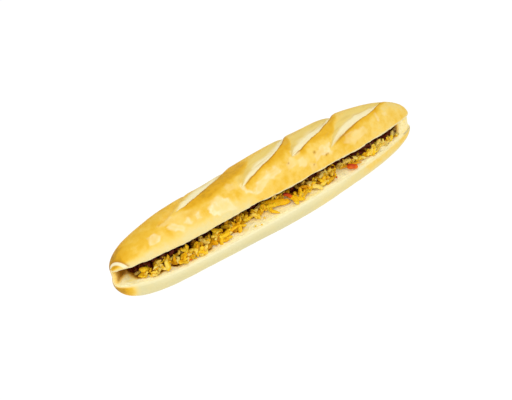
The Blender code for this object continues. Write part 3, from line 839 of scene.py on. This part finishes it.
def torn_crumb():
    """White bread crumb laid open by the knife: soft, matt and full of small holes."""
    # Painted light: the crumb glows faintly by itself, brightening it where the top half shades it.
    made, tree, shader = new_material(
        "torn_wheat_crumb", Roughness=0.85, IOR=1.4, Specular_IOR_Level=0.15, Subsurface_Weight=0.15, Subsurface_Scale=0.002,
        Emission_Strength=0.07,
    )
    shader.inputs["Subsurface Radius"].default_value = (1.0, 0.95, 0.8)
    place = add_node(tree, "TexCoord").outputs["Object"]
    clouds = speckle(tree, place, 6)
    holes = add_node(tree, "TexVoronoi", {"Vector": place, "Scale": 1 / (2.4 * MM)}).outputs["Distance"]
    pores = ramp(tree, holes, ((0.10, 1.0), (0.34, 0.0)))
    colour = ramp(tree, clouds, ((0.3, "#fdf0b8"), (0.5, "#fef6ca"), (0.7, "#fdea98")))
    colour = blend(tree, combine(tree, "MULTIPLY", pores, 0.25), colour, "#ecd698")
    # curry soaked into the crumb next to the heap, and painted shade deep in the slit at the left tip
    soaked_and_shaded = ramp(tree, mask(tree, "stain_and_shade"), ((0.0, "#ffffff"), (0.2, "#fbe09a"), (0.5, "#b07a1e"), (1.0, "#5a1c02")))
    colour = add_node(tree, "MixRGB", {"Fac": 1.0, "Color1": colour, "Color2": soaked_and_shaded}, blend_type="MULTIPLY").outputs["Color"]
    tree.links.new(colour, shader.inputs["Base Color"])
    tree.links.new(colour, shader.inputs["Emission Color"])  # painted light: the crumb glows faintly in its own colour, standing in for daylight that soaks through it
    height = combine(tree, "SUBTRACT", clouds, pores)
    bump = add_node(tree, "Bump", {"Height": height, "Strength": 0.6, "Distance": 0.7 * MM})
    tree.links.new(bump.outputs["Normal"], shader.inputs["Normal"])
    return made


def pulled_chicken():
    """Cooked chicken pulled along its fibres in curry: yellow, streaked and wet, darker with curry and painted shade
    deep in the slit.
    """
    made, tree, shader = new_material(
        "pulled_curried_chicken", Roughness=0.4, IOR=1.42, Specular_IOR_Level=0.2, Subsurface_Weight=0.15,
        Subsurface_Scale=0.002,
    )
    shader.inputs["Subsurface Radius"].default_value = (1.0, 0.5, 0.2)
    place = add_node(tree, "TexCoord").outputs["Object"]
    strand = add_node(tree, "Attribute", attribute_name="strand").outputs["Vector"]
    streaks = add_node(tree, "TexNoise", {"Vector": strand, "Scale": 1.0, "Detail": 3.0}).outputs["Fac"]
    patches = speckle(tree, place, 5)
    tone = combine(tree, "ADD", mask(tree, "tone"), combine(tree, "MULTIPLY_ADD", patches, 0.5, -0.25))
    colour = ramp(tree, tone, (
        (0.0, "#e8a60c"), (0.3, "#fcc414"), (0.6, "#ffd52c"), (1.0, "#ffe680"),
    ))
    dark_streaks = ramp(tree, streaks, ((0.30, 1.0), (0.52, 0.0)))
    colour = blend(tree, combine(tree, "MULTIPLY", dark_streaks, 0.3), colour, "#b87008")
    # dark red brown of curry and of painted shade, deep in the heap and under the front lip
    colour = blend(tree, mask(tree, "sauce_and_shade"), colour, "#561a02")
    tree.links.new(colour, shader.inputs["Base Color"])
    bump = add_node(tree, "Bump", {"Height": streaks, "Strength": 0.6, "Distance": 0.5 * MM})
    tree.links.new(bump.outputs["Normal"], shader.inputs["Normal"])
    return made


def cooked_pepper():
    """Red pepper cooked soft: glossy, deep orange red, a deeper red towards the top of each piece and painted shade
    where it rises under the front lip.
    """
    made, tree, shader = new_material(
        "cooked_red_pepper", Roughness=0.35, IOR=1.4, Specular_IOR_Level=0.25,
    )
    place = add_node(tree, "TexCoord").outputs["Object"]
    cloud = speckle(tree, place, 3)
    colour = ramp(tree, cloud, ((0.3, "#c04402"), (0.5, "#e86404"), (0.75, "#f48c14")))
    # a deeper red towards the top of each piece
    colour = blend(tree, mask(tree, "redder_towards_top"), colour, "#a80c02")
    # painted shade: darker red where the piece rises under the front lip
    colour = blend(tree, mask(tree, "sauce_and_shade"), colour, "#6a0800")
    tree.links.new(colour, shader.inputs["Base Color"])
    bump = add_node(tree, "Bump", {"Height": cloud, "Strength": 0.3, "Distance": 0.4 * MM})
    tree.links.new(bump.outputs["Normal"], shader.inputs["Normal"])
    return made


# The stage

def make_stage():
    """A white table lit from under its paper, and soft light from all round and above."""
    data = bpy.data.meshes.new("table")
    reach = 40.0
    data.from_pydata([(-reach, -reach, 0), (reach, -reach, 0), (reach, reach, 0), (-reach, reach, 0)], [], [(0, 1, 2, 3)])
    table = bpy.data.objects.new("table", data)
    bpy.context.scene.collection.objects.link(table)
    table.location.z = -0.0002
    paper, tree, shader = new_material("lit_white_paper", Roughness=0.9, Emission_Strength=0.97)
    shader.inputs["Base Color"].default_value = linear("#484848")
    shader.inputs["Emission Color"].default_value = linear("#ffffff")
    data.materials.append(paper)

    world = bpy.data.worlds.new("soft_room")
    bpy.context.scene.world = world
    world.use_nodes = True
    sky = world.node_tree.nodes["Background"]
    sky.inputs["Color"].default_value = linear("#fffefb")
    sky.inputs["Strength"].default_value = 0.68

    for name, place, power, size in (
        ("softbox_above", (-0.25, -0.55, 1.15), 3.8, 0.9),
        ("softbox_front", (-0.55, -1.05, 1.0), 4.0, 0.8),
    ):
        light = bpy.data.lights.new(name, "AREA")
        light.energy = power
        light.size = size
        lamp = bpy.data.objects.new(name, light)
        bpy.context.scene.collection.objects.link(lamp)
        lamp.location = place
        lamp.rotation_euler = (-Vector(place)).to_track_quat("-Z", "Y").to_euler()


def make_camera():
    """The camera, looking down on the sandwich's open side and rolled a little."""
    cos = math.cos(VIEW_ELEVATION)
    back = Vector((math.sin(VIEW_AZIMUTH) * cos, -math.cos(VIEW_AZIMUTH) * cos, math.sin(VIEW_ELEVATION)))
    turn = (-back).to_track_quat("-Z", "Y").to_matrix() @ Matrix.Rotation(VIEW_ROLL, 3, "Z")
    aim = Vector((0, 0, CUT_Z)) - turn @ Vector((VIEW_ASIDE, 0, 0))
    data = bpy.data.cameras.new("camera")
    data.lens = LENS
    camera = bpy.data.objects.new("camera", data)
    bpy.context.scene.collection.objects.link(camera)
    camera.matrix_world = Matrix.LocRotScale((aim + back * VIEW_DISTANCE) * MM, turn.to_quaternion(), None)
    bpy.context.scene.camera = camera


def place_in_box(points, node):
    """How far points move along the table so that their box is centred on the node's; their height stays as it is."""
    low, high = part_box(node)
    middle = (np.array(low) + np.array(high)) / 2 / MM
    found = (points.reshape(-1, 3).min(axis=0) + points.reshape(-1, 3).max(axis=0)) / 2
    return np.array((middle[0] - found[0], middle[1] - found[1], 0))


bpy.context.scene.view_settings.view_transform = "Standard"
make_stage()
make_camera()

points, look = loaf_surface()
home = place_in_box(points, "baguette")
loaf = grid_mesh("baked_loaf", points + home, True, look)
piece = add_piece("baked_loaf", loaf, baked_crust(), "baguette")
loaf.materials.append(torn_crumb())
crumb_faces = look["crumb"].ravel()
kinds = [int(all(crumb_faces[v] > 0.5 for v in face.vertices)) for face in loaf.polygons]
loaf.polygons.foreach_set("material_index", kinds)

chicken = pulled_chicken()
random = np.random.default_rng(7)
core = heap_core()
count = core.shape[0] * core.shape[1]
behind = core[..., 1] - heap_front(core[..., 0])[0]
# painted shade: the core is coloured dark brown, darkest behind the heap's front, so the gaps between the shreds look
# shaded
deep_look = {"tone": np.full(count, 0.1), "sauce_and_shade": 0.35 + 0.65 * smooth(behind, 4, 9)}
deep_look["sauce_and_shade"] = np.maximum(deep_look["sauce_and_shade"], shade_under_lip(core[..., 0], core[..., 1], core[..., 2]))
core_mesh = grid_mesh("chicken_heap", core + home, True, deep_look)
add_piece("chicken_heap", core_mesh, chicken, "filling")
for name, (strand_points, fibre, tone, sauce_and_shade) in (
    ("chicken_shreds", loose_shreds(random)),
    ("chicken_strips", lone_strips(random)),
    ("chicken_crumbs", fallen_bits(random, CRUMBS, 0.6)),
):
    data = tubes_mesh(name, strand_points + home, fibre, {"tone": tone, "sauce_and_shade": sauce_and_shade})
    add_piece(name, data, chicken, None)

pepper = cooked_pepper()
for node, sizes in PEPPERS.items():
    slab = pepper_points(*sizes)
    name = node.replace("slice", "piece")
    height = slab[..., 2]
    # painted shade under the front lip, and a deeper red towards the top of each piece
    pepper_look = {
        "sauce_and_shade": shade_under_lip(slab[..., 0], slab[..., 1], height),
        "redder_towards_top": 0.85 * smooth(height, height.mean(), height.max()),
    }
    add_piece(name, grid_mesh(name, slab + home, True, pepper_look), pepper, node)
flecks, fibre, tone, sauce_and_shade = fallen_bits(random, FLECKS, 2.4)
data = tubes_mesh("pepper_flecks", flecks + home, fibre, {"sauce_and_shade": sauce_and_shade})
add_piece("pepper_flecks", data, pepper, None)
